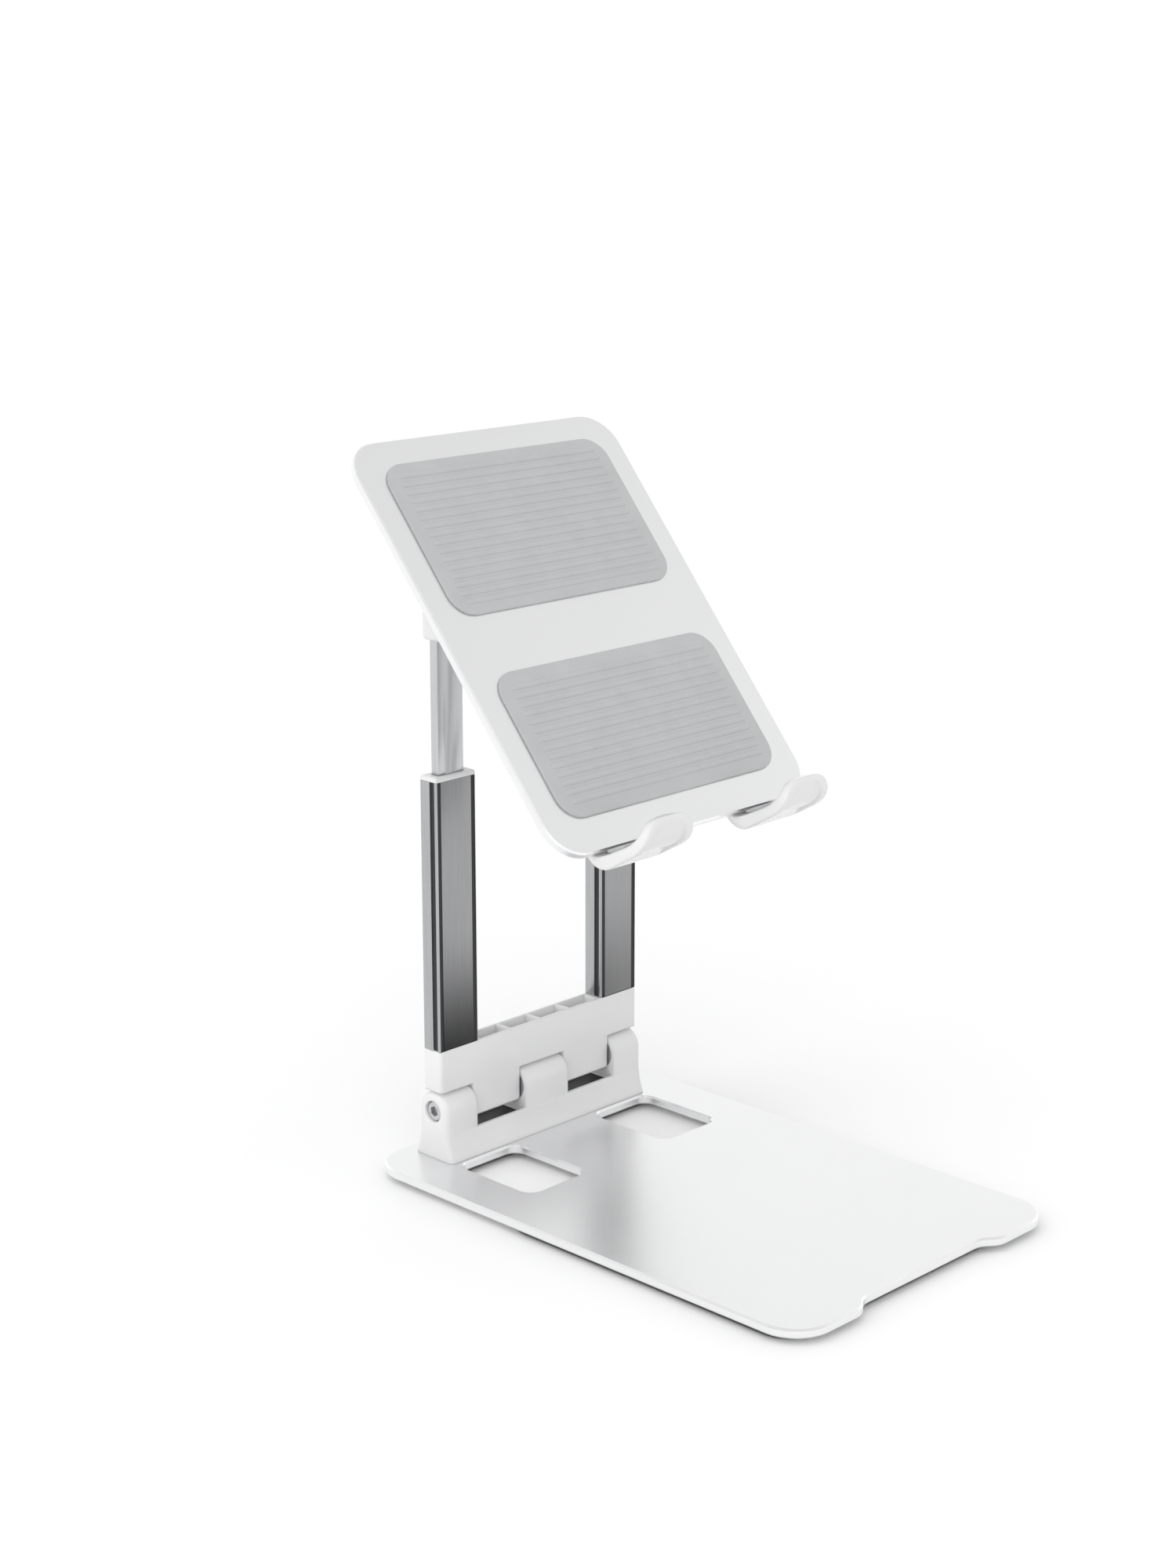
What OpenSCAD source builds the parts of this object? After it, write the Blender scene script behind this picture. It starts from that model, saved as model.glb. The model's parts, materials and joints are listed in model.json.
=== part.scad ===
// Folding tablet stand: a flat base plate, a low friction hinge that carries two telescoping arms,
// and a tilting tray with two hooks that hold the tablet's lower edge.
// +X is to the right, the user sits at -Y, +Z is up. The origin is on the table, under the plate's centre.

/* [Base] */
// Width of the base plate, side to side
base_w = 120; // [104:1:140]
// Depth of the base plate, front to back
base_d = 178; // [176:1:200]
// Thickness of the base plate
base_t = 3; // [2.5:0.5:4]
// Corner radius of the base plate
base_r = 13; // [6:1:20]
// Thickness of the silicone mat and pads under the plate
foot_t = 2; // [1:0.5:3]
// Width of each hook window in the plate
window_w = 25; // [23:1:26]
// Depth of each hook window, front to back
window_d = 32.3; // [28:0.1:33]
// Distance from the rear edge of the plate to the middle of a window
window_back = 39.5; // [39:0.5:42]

/* [Lower hinge] */
// Width of the hinge, and of the pair of arms
hinge_w = 88.8; // [86:0.2:92]
// Distance of the hinge axis from the rear edge of the plate
hinge_back = 13.5; // [13:0.5:16]
// Height of the hinge axis above the table
hinge_z = 20.7; // [20:0.1:22]
// Radius of the rounded top of the base bracket
knuckle_r = 6.5; // [6:0.1:7]
// Radius of the hinge bolt
bolt_r = 2; // [1.5:0.1:2.2]

/* [Arms] */
// Width of one arm
arm_w = 16.6; // [16:0.2:17]
// Depth of an arm, front to back
arm_d = 7.6; // [7.4:0.1:8]
// Height of the arms' top above the table
arm_top = 130; // [120:1:140]
// Width of the flat bar that slides in an arm
rod_w = 10.4; // [9:0.2:10.4]
// Thickness of the sliding bar
rod_t = 3.2; // [2.4:0.1:3.2]

/* [Tray] */
// Height of the upper hinge axis, with the bars drawn out
tray_axis_z = 188.8; // [180:1:200]
// Angle of the tray above level
tray_tilt = 50; // [20:1:80]
// Width of the tray plate
tray_w = 112; // [100:1:120]
// Length of the tray plate
tray_l = 144; // [130:1:150]
// Distance from the tray's resting edge up to the upper hinge axis
tray_axis_v = 98.6; // [90:1:110]
// Distance between the middles of the two hooks
hook_pitch = 61; // [56:1:66]
// Width of one hook
hook_w = 22; // [16:1:24]

/* [Hidden] */
$fn = 48;

run = 0.05;             // radial clearance of a turning fit
fit = 0.02;             // radial clearance of a fixed screw
gap = 0.3;              // clearance of faces that slide past each other
eps = 0.01;

// Base
plate_z = foot_t;
plate_top = foot_t + base_t;
plate_edge = 0.6;       // chamfer round the plate and its windows
hinge_y = base_d / 2 - hinge_back;
window_y = base_d / 2 - window_back;
window_x = 30.25;
window_r = 4;
recess_mouth = 35;      // half width of the finger recess at the front edge
recess_floor = 25;      // half width of its floor
recess_depth = 4;
mat_edge = 2;           // the mat stays this far inside the plate
rear_pad_x = [8, 54];
rear_pad_y = [hinge_y - 7.5, hinge_y + 9.5];
bracket_screw_x = [20.35, 37.8];
screw_head_r = 2.8;
screw_r = 1.5;
screw_drive_r = 0.9;

// Lower hinge, along X
half_w = hinge_w / 2;
bracket_end = 2;        // rounding of the bracket's two ends
bracket_flare = 2.2;    // how far the bracket spreads where it meets the plate
flare_z = hinge_z - 5;  // height where the spread starts
pocket_x = [9.5, 31.2]; // the base bracket is open between these, on each side
pocket_floor = hinge_z - 6.9;
trough_floor = hinge_z - 8.7;   // under a turning knuckle, behind the pocket's low front and back lips
side_gap = 0.6;         // a washer and a clearance, beside each turning knuckle
washer_t = 0.3;
recess_r = 3.5;         // end recesses for the bolt head and the nut
head_r = 3.2;
head_t = 2.4;
head_recess = 3;
nut_recess = 7;
bolt_short = 3;         // the bolt ends this far inside the bracket's right end
drive_r = 1.75;         // hexagonal sockets of the bolt and its nut
spring_t = 2;

// Hinge block
block_d = 8.1;
block_z = [hinge_z + 6.9, hinge_z + 20.6];
block_edge = 0.8;
turn_r = 5.6;           // radius of the block's knuckles
turn_corner = 3;        // rounding of their lower corners, seen from the front
cell_wall = 1.3;
rib_t = 1.4;
rib_pitch = 13.4;
cell_floor = block_z[0] + 3.4;

// Arms
arm_x = half_w - arm_w / 2;
arm_foot = block_z[1];
cap_t = 1.5;
cavity_w = 12.2;
cavity_d = 4.8;
cavity_floor = arm_foot + 2.2;
tenon_d = 5.8;
tenon_z = block_z[0] + 3.4;
recess_w = 15.6;        // shallow recess down an arm's front, with dark strips beside the satin one
recess_t = 0.5;
inlay_w = 12.6;
front_trim_t = 0.2;
trim_y = [-2.8, -0.7];  // shadow groove in the arm's side faces, from the arm's middle
trim_depth = 0.8;
strip_l = arm_top - cap_t - arm_foot - 0.1;
arm_screw_x = 3.5;      // the screws sit this far either side of an arm's middle
arm_screw_z = block_z[0] + 8.6;
small_screw_r = 1.25;
small_head_r = 2.2;
small_drive_r = 0.75;
small_screw_l = 6;

// Bars
rod_z = [79.5, tray_axis_z - 5.8];
glide_h = 7.5;
glide_step = 1;         // the bar is this much narrower where a glide grips it
liner_z = [rod_z[0] + glide_h + 1, arm_top - 8.5];
skirt_z = arm_top - 8;

// Upper hinge
turn2_r = 4.2;
block2_z = [tray_axis_z - 16.8, tray_axis_z - 5.2];
block2_w = 84.8;
block2_d = 8.1;
block2_edge = 0.8;
bolt2_r = 1.5;
head2_r = 2.4;
recess2_r = 2.6;
head2_t = 2;
head2_recess = 2.5;
nut2_recess = 5.6;
bolt2_short = 2.6;
drive2_r = 1.3;
spring2_t = 1.6;
rod_screw_z = block2_z[0] + 5;
ear_x = [9.5, 31.2];    // the tray leaf's ears turn between these, on each side

// Tray, in its own axes: X across, v up the tray, w out of its front face
axis_w = -9;
tray_t = 3;
tray_r = 12;
tray_edge = 0.5;
tray_v = [1, 1 + tray_l];
leaf_w = [-4.5, -3];
leaf_half = 42;
leaf_v = [tray_axis_v - 4.2, tray_axis_v + 15.4];
leaf_screw_v = tray_axis_v + 10;
leaf_screw_x = [13, 33];
tray_y = hinge_y - tray_axis_v * cos(tray_tilt) + axis_w * sin(tray_tilt);
tray_z = tray_axis_z - tray_axis_v * sin(tray_tilt) - axis_w * cos(tray_tilt);
pad_t = 1.2;
pad_w = 94;
pad_r = 8;
lower_pad_v = [12, 62];
upper_pad_v = [82, 136];
hook_x = hook_pitch / 2;
hook_screw_v = [9, 18];
hook_edge = 0.8;        // rounding of a hook's long edges

// Hook profile, root to lip: [v, w, half thickness]
hook_line = [
    [24, -4.1, 1.1], [13, -4.1, 1.1], [2.2, -4.1, 1.1], [-0.9, -2.9, 1.6], [-2.7, -0.5, 2.15],
    [-3.5, 2.2, 2.1], [-4.1, 5, 2.0], [-4.8, 8.5, 1.85], [-5.4, 12, 1.85], [-5.2, 15.3, 1.75],
    [-4.0, 18.1, 1.6], [-1.8, 20, 1.5], [-0.4, 20.8, 1.45]
];
hook_head = [2.5, 1.2]; // radius and height of a hook screw's button head
hook_screw_l = 3.8;
hook_lip = 8;           // the lip's rounded outline starts at this point of the profile
hook_steps = 4;         // stations between two points of the profile
lip_power = 2.4;        // squareness of the lip's outline
lip_rings = 9;          // rings round the lip, closer together towards its tip

// ---------- outlines ----------

function arc(c, r, a0, a1, n = 8) =
    [for (i = [0:n]) let (a = a0 + (a1 - a0) * i / n) [c[0] + r * cos(a), c[1] + r * sin(a)]];

function rounded_rect(w, d, r, n = 8) = concat(
    arc([w / 2 - r, d / 2 - r], r, 0, 90, n),
    arc([r - w / 2, d / 2 - r], r, 90, 180, n),
    arc([r - w / 2, r - d / 2], r, 180, 270, n),
    arc([w / 2 - r, r - d / 2], r, 270, 360, n));

// Finger recess in the plate's front edge, spread by i: two S-shaped ends and a straight floor
s_turn = 2 * atan(recess_depth / (recess_mouth - recess_floor));
s_r = recess_depth / 2 / (1 - cos(s_turn));
function recess_side(i) = concat(
    [[recess_mouth, -base_d / 2 - recess_depth]],
    arc([recess_mouth, s_r - base_d / 2], s_r - i, 270, 270 - s_turn, 6),
    [for (a = [5:-1:0]) [recess_floor, recess_depth - s_r - base_d / 2]
        + (s_r + i) * [sin(a * s_turn / 6), cos(a * s_turn / 6)]]);
function recess_outline(i) = let (side = recess_side(i))
    concat(side, [for (k = [len(side) - 1:-1:0]) [-side[k][0], side[k][1]]]);

// Cross-section (y, z) of the base bracket, drawn in by i except at the plate
function flare(t) = knuckle_r + bracket_flare * t * t;
function bracket_outline(i) = concat(
    [for (k = [6:-1:1]) [hinge_y + flare(k / 6) - i, flare_z + (plate_top - flare_z) * k / 6]],
    arc([hinge_y, hinge_z], knuckle_r - i, 0, 180, 21),
    [for (k = [1:6]) [hinge_y - flare(k / 6) + i, flare_z + (plate_top - flare_z) * k / 6]]);

// Round knuckle with a straight neck that runs up (dir = 1) or down (dir = -1) to height z
function knuckle_outline(y, z0, r, half, dir, z) = let (a = asin(half / r)) concat(
    arc([y, z0], r, -90 * dir - a, -90 * dir + a, 16),
    [[y + half * dir, z], [y - half * dir, z]]);

// ---------- building blocks ----------

// Closed solid through rings that all have the same number of points. A ring that isn't convex is
// listed so that its points k and n - 1 - k mirror each other, and its ends are closed pair by pair.
module skin(rings, paired = false) {
    n = len(rings[0]);
    last = len(rings) - 1;
    sides = [for (k = [0:last - 1]) for (i = [0:n - 1])
        let (j = (i + 1) % n) [k * n + i, (k + 1) * n + i, (k + 1) * n + j, k * n + j]];
    strips = [for (i = [0:n / 2 - 2]) [i, i + 1, n - 2 - i, n - 1 - i]];
    bottom = paired ? strips : [[for (i = [0:n - 1]) i]];
    top = [for (face = bottom) [for (i = [len(face) - 1:-1:0]) last * n + face[i]]];
    polyhedron([for (ring = rings) for (p = ring) p], concat(bottom, sides, top), convexity = 6);
}

// Outlines stacked along Z: [[z, outline], ...]
module stack(layers, paired = false) {
    skin([for (l = layers) [for (p = l[1]) [p[0], p[1], l[0]]]], paired);
}

// Rounded plate from z0 to z1 with chamfered edges
module slab(w, d, r, z0, z1, edge, n = 8) {
    stack([
        [z0, rounded_rect(w - 2 * edge, d - 2 * edge, r - edge, n)],
        [z0 + edge, rounded_rect(w, d, r, n)],
        [z1 - edge, rounded_rect(w, d, r, n)],
        [z1, rounded_rect(w - 2 * edge, d - 2 * edge, r - edge, n)]
    ]);
}

// Extrudes a (y, z) outline along X
module along_x(x0, x1) {
    translate([x0, 0, 0]) rotate([90, 0, 90]) linear_extrude(x1 - x0) children();
}

// Extrudes an (x, z) outline along Y
module along_y(y0, y1) {
    translate([0, y1, 0]) rotate([90, 0, 0]) linear_extrude(y1 - y0) children();
}

module both_sides() {
    children();
    mirror([1, 0, 0]) children();
}

// Rod along X on a hinge axis
module pin(x0, x1, r, y, z) {
    translate([x0, y, z]) rotate([0, 90, 0]) cylinder(h = x1 - x0, r = r);
}

// Hexagonal drive socket, opening towards +Z at z = 0
module hex_socket(r, depth) {
    translate([0, 0, -depth]) cylinder(h = depth + 1, r = r, $fn = 6);
}

// Countersunk screw pointing down from z = 0
module flat_screw(r, head, length, drive) {
    difference() {
        union() {
            translate([0, 0, -length]) cylinder(h = length, r = r);
            translate([0, 0, r - head]) cylinder(h = head - r, r1 = r, r2 = head);
        }
        hex_socket(drive, (head - r) * 0.75);
    }
}

// Hole for that screw
module flat_screw_hole(r, head, length) {
    translate([0, 0, -length]) cylinder(h = length + eps, r = r + fit);
    translate([0, 0, r - head]) cylinder(h = head - r, r1 = r + fit, r2 = head + fit);
    cylinder(h = 1, r = head + fit);
}

// Bolt head with a rounded face, its socket opening towards -X at x = 0
module bolt_head(r, t, drive) {
    difference() {
        rotate([0, 90, 0]) rotate_extrude()
            polygon(concat([[0, t], [0, 0]], arc([r - 0.5, 0.5], 0.5, 270, 360, 4), [[r, t]]));
        rotate([0, -90, 0]) hex_socket(drive, t * 0.7);
    }
}

// Pair of disc springs, rim to rim, starting at x = 0
module disc_springs(r0, r1, t) {
    rise = t * 0.25;
    rotate([0, 90, 0]) rotate_extrude()
        polygon([[r0, 0], [r1, rise], [r1, t / 2 - eps], [r0, t / 2 - eps - rise]]);
    rotate([0, 90, 0]) rotate_extrude()
        polygon([[r0, t], [r1, t - rise], [r1, t / 2 + eps], [r0, t / 2 + eps + rise]]);
}

module washers(x_list, r0, r1, y, z) {
    both_sides() for (x = x_list) translate([x, y, z]) rotate([0, 90, 0])
        difference() {
            cylinder(h = washer_t, r = r1);
            translate([0, 0, -1]) cylinder(h = washer_t + 2, r = r0);
        }
}

// ---------- base ----------

// Cutter through the plate that leaves a chamfer at both faces
module plate_cut(outlines, paired = false) {
    stack([
        [plate_z - eps, outlines[1]],
        [plate_z + plate_edge, outlines[0]],
        [plate_top - plate_edge, outlines[0]],
        [plate_top + eps, outlines[1]]
    ], paired);
}

module base_plate() {
    color("gainsboro") difference() {
        slab(base_w, base_d, base_r, plate_z, plate_top, plate_edge, 16);
        plate_cut([for (i = [0, plate_edge]) recess_outline(i)], true);
        both_sides() translate([window_x, window_y, 0])
            plate_cut([for (i = [0, plate_edge])
                rounded_rect(window_w + 2 * i, window_d + 2 * i, window_r + i)]);
        both_sides() for (x = bracket_screw_x)
            translate([x, hinge_y, plate_z]) rotate([180, 0, 0])
                flat_screw_hole(screw_r, screw_head_r, 6);
    }
}

module front_mat() {
    depth = window_y - window_d / 2 - 4 - (mat_edge + recess_depth - base_d / 2);
    color("dimgray") translate([0, mat_edge + recess_depth - base_d / 2 + depth / 2, 0])
        slab(base_w - 2 * mat_edge, depth, base_r - mat_edge, 0, foot_t, 0.3);
}

module rear_pads() {
    w = rear_pad_x[1] - rear_pad_x[0];
    d = rear_pad_y[1] - rear_pad_y[0];
    color("dimgray") both_sides()
        translate([(rear_pad_x[0] + rear_pad_x[1]) / 2, (rear_pad_y[0] + rear_pad_y[1]) / 2, 0])
            slab(w, d, 4, 0, foot_t, 0.3);
}

// Window between two knuckles of the base bracket, with their top corners rounded over
module bracket_pocket() {
    r = 1.5;
    top = hinge_z + knuckle_r;
    along_y(hinge_y - 12, hinge_y + 12) polygon(concat(
        [[pocket_x[0], pocket_floor], [pocket_x[1], pocket_floor]],
        arc([pocket_x[1] + r, top - r], r, 180, 90, 6),
        [[pocket_x[1] + r, top + 3], [pocket_x[0] - r, top + 3]],
        arc([pocket_x[0] - r, top - r], r, 90, 0, 6)));
    translate([pocket_x[0], hinge_y - turn_r + gap, trough_floor])
        cube([pocket_x[1] - pocket_x[0], 2 * (turn_r - gap), hinge_z - trough_floor]);
}

module hinge_bracket() {
    steps = 5;
    inset = [for (k = [0:steps]) bracket_end * (1 - sin(90 * k / steps))];
    back = [for (k = [0:steps]) bracket_end * (1 - cos(90 * k / steps))];
    layers = concat(
        [for (k = [0:steps]) [back[k] - half_w, bracket_outline(inset[k])]],
        [for (k = [steps:-1:0]) [half_w - back[k], bracket_outline(inset[k])]]);
    color("whitesmoke") difference() {
        rotate([90, 0, 90]) stack(layers, true);
        both_sides() bracket_pocket();
        pin(-half_w - 1, half_w + 1, bolt_r + run, hinge_y, hinge_z);
        pin(-half_w - 1, head_recess - half_w, recess_r, hinge_y, hinge_z);
        pin(half_w - nut_recess, half_w + 1, recess_r, hinge_y, hinge_z);
        both_sides() for (x = bracket_screw_x)
            translate([x, hinge_y, plate_top - 1]) cylinder(h = 7.2, r = screw_r + fit);
    }
}

module bracket_screws() {
    color("silver") both_sides() for (x = bracket_screw_x)
        translate([x, hinge_y, plate_z]) rotate([180, 0, 0])
            flat_screw(screw_r, screw_head_r, 9, screw_drive_r);
}

module hinge_bolt() {
    head_x = head_recess - half_w - head_t;
    color("silver") {
        translate([head_x, hinge_y, hinge_z]) bolt_head(head_r, head_t, drive_r);
        pin(head_x + head_t, half_w - bolt_short, bolt_r, hinge_y, hinge_z);
    }
}

module hinge_nut() {
    x0 = half_w - nut_recess + spring_t + 0.1;
    x1 = half_w - 1;
    color("silver") difference() {
        pin(x0, x1, head_r, hinge_y, hinge_z);
        pin(x0 - 1, half_w - bolt_short + 0.1, bolt_r + fit, hinge_y, hinge_z);
        translate([x1, hinge_y, hinge_z]) rotate([0, 90, 0]) hex_socket(drive_r, 1.4);
    }
}

module hinge_washers() {
    color("darkgray")
        washers([pocket_x[0], pocket_x[1] - washer_t], bolt_r + run, turn_r - gap, hinge_y, hinge_z);
}

module hinge_springs() {
    color("darkgray") translate([half_w - nut_recess + eps, hinge_y, hinge_z])
        disc_springs(bolt_r + run, head_r, spring_t);
}

// ---------- arms ----------

module block_knuckle() {
    x0 = pocket_x[0] + side_gap;
    x1 = pocket_x[1] - side_gap;
    low = hinge_z - turn_r;
    high = block_z[0] + 2;
    intersection() {
        along_x(x0, x1)
            polygon(knuckle_outline(hinge_y, hinge_z, turn_r, block_d / 2, 1, high));
        along_y(hinge_y - 10, hinge_y + 10) polygon(concat(
            arc([x0 + turn_corner, low + turn_corner], turn_corner, 180, 270, 8),
            arc([x1 - turn_corner, low + turn_corner], turn_corner, 270, 360, 8),
            [[x1, high + 1], [x0, high + 1]]));
    }
}

module block_cells() {
    ends = arm_x - arm_w / 2 - cell_wall;
    for (k = [0, 1]) {
        x0 = k * rib_pitch + rib_t / 2;
        x1 = k == 0 ? rib_pitch - rib_t / 2 : ends;
        both_sides() translate([x0, hinge_y - block_d / 2 + cell_wall, cell_floor])
            cube([x1 - x0, block_d - 2 * cell_wall, block_z[1]]);
    }
}

module arm_screw_holes(r, head, length) {
    both_sides() for (dx = [-arm_screw_x, arm_screw_x])
        translate([arm_x + dx, hinge_y + block_d / 2, arm_screw_z]) rotate([-90, 0, 0])
            flat_screw_hole(r, head, length);
}

module hinge_block() {
    d = block_d;
    color("whitesmoke") difference() {
        union() {
            translate([0, hinge_y, 0]) stack([
                [block_z[0], rounded_rect(hinge_w, d, 1.2)],
                [block_z[1] - block_edge, rounded_rect(hinge_w, d, 1.2)],
                [block_z[1], rounded_rect(hinge_w - block_edge, d - block_edge, 0.8)]
            ]);
            both_sides() block_knuckle();
        }
        pin(-half_w, half_w, bolt_r + run, hinge_y, hinge_z);
        block_cells();
        both_sides() translate([arm_x - cavity_w / 2 - fit, hinge_y - tenon_d / 2 - fit, tenon_z - gap])
            cube([cavity_w + 2 * fit, tenon_d + 2 * fit, block_z[1]]);
        arm_screw_holes(small_screw_r, small_head_r, small_screw_l);
    }
}

// One arm: a hollow extrusion with a tenon, a front recess and two shadow grooves
module arm_shell() {
    top = arm_top - cap_t;
    front = hinge_y - arm_d / 2;
    color("silver") difference() {
        union() {
            translate([0, hinge_y, 0]) stack([
                [arm_foot, rounded_rect(arm_w, arm_d, 0.7, 4)],
                [top, rounded_rect(arm_w, arm_d, 0.7, 4)]
            ]);
            translate([-cavity_w / 2, hinge_y - tenon_d / 2, tenon_z])
                cube([cavity_w, tenon_d, arm_foot - tenon_z + 1]);
        }
        translate([-cavity_w / 2, hinge_y - cavity_d / 2, cavity_floor])
            cube([cavity_w, cavity_d, arm_top]);
        translate([-recess_w / 2, front - 1, arm_foot - 1])
            cube([recess_w, 1 + recess_t, arm_top]);
        both_sides() translate([arm_w / 2 - trim_depth, hinge_y + trim_y[0], arm_foot - 1])
            cube([2, trim_y[1] - trim_y[0], arm_top]);
        for (dx = [-arm_screw_x, arm_screw_x])
            translate([dx, hinge_y + 4, arm_screw_z]) rotate([90, 0, 0])
                cylinder(h = 8, r = small_screw_r + fit);
    }
}

module left_arm() {
    translate([-arm_x, 0, 0]) arm_shell();
}

module right_arm() {
    translate([arm_x, 0, 0]) arm_shell();
}

// Satin strip down the middle of an arm's front recess
module arm_inlay() {
    front = hinge_y - arm_d / 2;
    color("gray") translate([-inlay_w / 2, front + 0.1, arm_foot + 0.1])
        cube([inlay_w, recess_t - 0.1, strip_l]);
}

module left_arm_inlay() {
    translate([-arm_x, 0, 0]) arm_inlay();
}

module right_arm_inlay() {
    translate([arm_x, 0, 0]) arm_inlay();
}

// Dark strips at the bottom of an arm's two side grooves, and beside its satin strip
module arm_trims() {
    color("black") both_sides() {
        translate([arm_w / 2 - trim_depth, hinge_y + trim_y[0], arm_foot + 0.1])
            cube([trim_depth / 2, trim_y[1] - trim_y[0], strip_l]);
        translate([inlay_w / 2 + 0.1, hinge_y - arm_d / 2 + recess_t - front_trim_t, arm_foot + 0.1])
            cube([(recess_w - inlay_w) / 2 - 0.15, front_trim_t, strip_l]);
    }
}

module left_arm_trims() {
    translate([-arm_x, 0, 0]) arm_trims();
}

module right_arm_trims() {
    translate([arm_x, 0, 0]) arm_trims();
}

// Collar on an arm's top, with a skirt in the cavity and a passage for the bar
module arm_cap() {
    color("whitesmoke") difference() {
        union() {
            translate([0, hinge_y, 0]) stack([
                [arm_top - cap_t, rounded_rect(arm_w, arm_d, 0.7, 4)],
                [arm_top - 0.5, rounded_rect(arm_w, arm_d, 0.7, 4)],
                [arm_top, rounded_rect(arm_w - 1, arm_d - 1, 0.3, 4)]
            ]);
            translate([-cavity_w / 2, hinge_y - cavity_d / 2, skirt_z])
                cube([cavity_w, cavity_d, arm_top - skirt_z - 1]);
        }
        translate([-rod_w / 2 - gap, hinge_y - rod_t / 2 - gap, skirt_z - 1])
            cube([rod_w + 2 * gap, rod_t + 2 * gap, arm_top]);
    }
}

module left_arm_cap() {
    translate([-arm_x, 0, 0]) arm_cap();
}

module right_arm_cap() {
    translate([arm_x, 0, 0]) arm_cap();
}

// Plastic sleeves that guide the bars and stop the glides at full height
module rod_liners() {
    h = liner_z[1] - liner_z[0];
    color("lightgray") both_sides() translate([arm_x, hinge_y, liner_z[0]]) difference() {
        translate([-cavity_w / 2, -cavity_d / 2, 0]) cube([cavity_w, cavity_d, h]);
        translate([-rod_w / 2 - gap, -rod_t / 2 - gap, -1])
            cube([rod_w + 2 * gap, rod_t + 2 * gap, h + 2]);
    }
}

module arm_screws() {
    color("silver") both_sides() for (dx = [-arm_screw_x, arm_screw_x])
        translate([arm_x + dx, hinge_y + block_d / 2, arm_screw_z]) rotate([-90, 0, 0])
            flat_screw(small_screw_r, small_head_r, small_screw_l, small_drive_r);
}

// ---------- bars ----------

module rod() {
    color("silver") difference() {
        translate([-rod_w / 2, hinge_y - rod_t / 2, rod_z[0]])
            cube([rod_w, rod_t, rod_z[1] - rod_z[0]]);
        both_sides() translate([rod_w / 2 - glide_step, hinge_y - rod_t, rod_z[0] + 1])
            cube([rod_w, 2 * rod_t, glide_h - 2]);
        translate([0, hinge_y + 4, rod_screw_z]) rotate([90, 0, 0])
            cylinder(h = 8, r = small_screw_r + fit);
    }
}

module left_rod() {
    translate([-arm_x, 0, 0]) rod();
}

module right_rod() {
    translate([arm_x, 0, 0]) rod();
}

// Plastic shoe round the lower end of each bar, snapped into the bar's side notches
module rod_glides() {
    color("white") both_sides() translate([arm_x, hinge_y, rod_z[0]]) {
        difference() {
            translate([gap - cavity_w / 2, gap - cavity_d / 2, 0])
                cube([cavity_w - 2 * gap, cavity_d - 2 * gap, glide_h]);
            translate([-rod_w / 2, -rod_t / 2, -1]) cube([rod_w, rod_t, 2]);
            translate([-rod_w / 2, -rod_t / 2, glide_h - 1]) cube([rod_w, rod_t, 2]);
            translate([glide_step - rod_w / 2, -rod_t / 2, -1])
                cube([rod_w - 2 * glide_step, rod_t, glide_h + 2]);
        }
    }
}

module upper_knuckle(x0, x1) {
    along_x(x0, x1)
        polygon(knuckle_outline(hinge_y, tray_axis_z, turn2_r, block2_d / 2, -1, block2_z[1] - 2));
}

module upper_block() {
    half = block2_w / 2;
    edge = 0.6;
    color("whitesmoke") difference() {
        union() {
            translate([0, hinge_y, 0])
                slab(block2_w, block2_d, 1.2, block2_z[0], block2_z[1], block2_edge);
            both_sides() upper_knuckle(ear_x[1], half - edge);
            upper_knuckle(-ear_x[0], ear_x[0]);
        }
        pin(-half - 1, half + 1, bolt2_r + run, hinge_y, tray_axis_z);
        pin(-half - 1, head2_recess - half, recess2_r, hinge_y, tray_axis_z);
        pin(half - nut2_recess, half + 1, recess2_r, hinge_y, tray_axis_z);
        both_sides() {
            translate([arm_x - rod_w / 2, hinge_y - rod_t / 2, block2_z[0] - 1])
                cube([rod_w, rod_t, rod_z[1] - block2_z[0] + 1]);
            translate([arm_x, hinge_y + block2_d / 2, rod_screw_z]) rotate([-90, 0, 0])
                flat_screw_hole(small_screw_r, small_head_r, 7);
        }
    }
}

module rod_screws() {
    color("silver") both_sides()
        translate([arm_x, hinge_y + block2_d / 2, rod_screw_z]) rotate([-90, 0, 0])
            flat_screw(small_screw_r, small_head_r, 6.5, small_drive_r);
}

module tray_bolt() {
    half = block2_w / 2;
    head_x = head2_recess - half - head2_t;
    color("silver") {
        translate([head_x, hinge_y, tray_axis_z]) bolt_head(head2_r, head2_t, drive2_r);
        pin(head_x + head2_t, half - bolt2_short, bolt2_r, hinge_y, tray_axis_z);
    }
}

module tray_nut() {
    x0 = block2_w / 2 - nut2_recess + spring2_t + 0.1;
    x1 = block2_w / 2 - 0.8;
    color("silver") difference() {
        pin(x0, x1, head2_r, hinge_y, tray_axis_z);
        pin(x0 - 1, block2_w / 2 - bolt2_short + 0.1, bolt2_r + fit, hinge_y, tray_axis_z);
        translate([x1, hinge_y, tray_axis_z]) rotate([0, 90, 0]) hex_socket(drive2_r, 1.2);
    }
}

module tray_washers() {
    color("darkgray")
        washers([ear_x[0], ear_x[1] - washer_t], bolt2_r + run, turn2_r - gap, hinge_y, tray_axis_z);
}

module tray_springs() {
    color("darkgray") translate([block2_w / 2 - nut2_recess + eps, hinge_y, tray_axis_z])
        disc_springs(bolt2_r + run, head2_r, spring2_t);
}

// ---------- tray ----------

// Places children drawn in the tray's own axes
module in_tray() {
    translate([0, tray_y, tray_z]) rotate([tray_tilt, 0, 0]) children();
}

// Ear of the leaf: round about the hinge axis, with a neck to the leaf's flat
module leaf_ear(x0, x1) {
    along_x(x0, x1)
        polygon(knuckle_outline(tray_axis_v, axis_w, turn2_r, 4, 1, leaf_w[0] + 0.5));
}

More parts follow.
